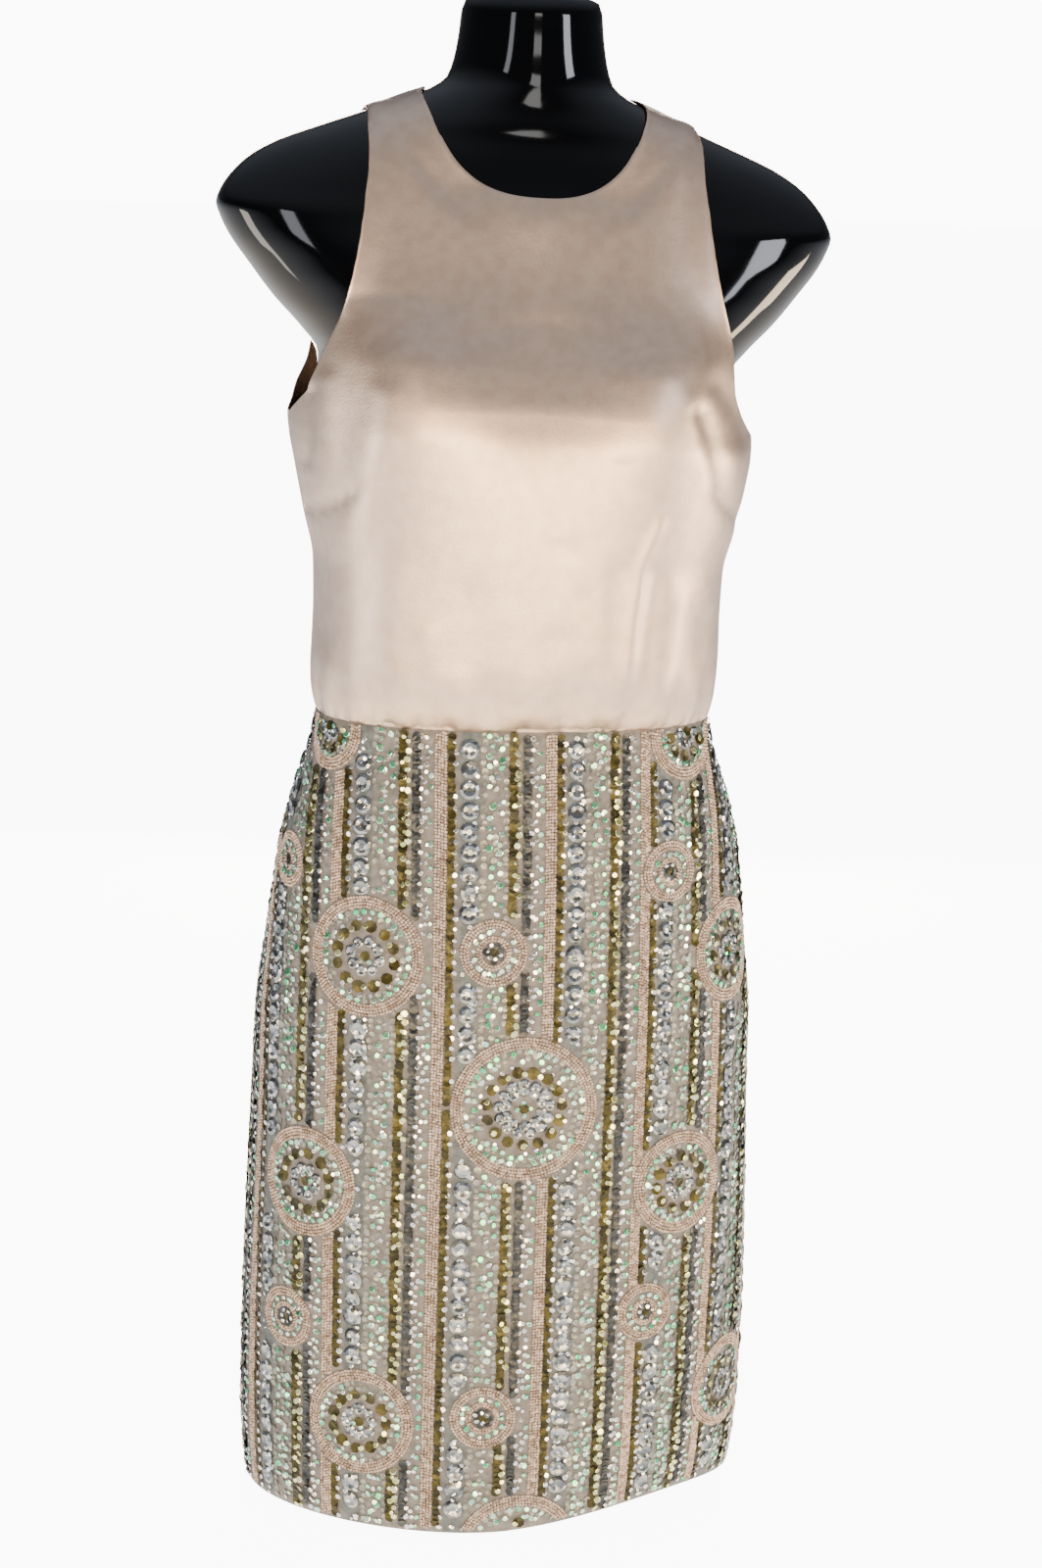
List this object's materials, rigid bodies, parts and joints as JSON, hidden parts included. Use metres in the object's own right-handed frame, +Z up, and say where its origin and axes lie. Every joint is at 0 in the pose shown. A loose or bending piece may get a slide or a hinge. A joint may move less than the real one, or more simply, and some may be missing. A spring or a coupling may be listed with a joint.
{
  "type": "cocktail dress on a torso dress form",
  "caption": "Sleeveless knee-length dress with a crepe blouson bodice and a beaded pencil skirt, worn by a black limbless torso form that stands on its flat base.",
  "frame": {"origin": "centre of the form's flat base, on the surface it stands on", "axes": "+Z up, -Y towards the wearer's front, +X towards the wearer's left"},
  "size_m": [0.398, 0.2523, 1],
  "materials": {
    "blush_crepe": "satin-faced crepe, soft sheen",
    "beaded_net": "net covered with beads and sequins",
    "zip_tape": "woven tape with a coil chain",
    "nickel_plate": "plated, polished",
    "gloss_black_shell": "high gloss black"
  },
  "bodies": {
    "dress": {"dress_form": "gloss_black_shell", "bodice_front": "blush_crepe", "bodice_back_left": "blush_crepe", "bodice_back_right": "blush_crepe", "skirt_front": "beaded_net", "skirt_back_left": "beaded_net", "skirt_back_right": "beaded_net", "zip_chain": "zip_tape", "zip_slider": "nickel_plate"},
    "pull": {"zip_pull": "nickel_plate"}
  },
  "joints": [
    {"name": "zip_pull_swing", "type": "hinge", "parent": "dress", "child": "pull", "pos_m": [0, 0.06631, 0.92759], "axis": [1, 0, 0], "range_deg": [0, 150]}
  ]
}
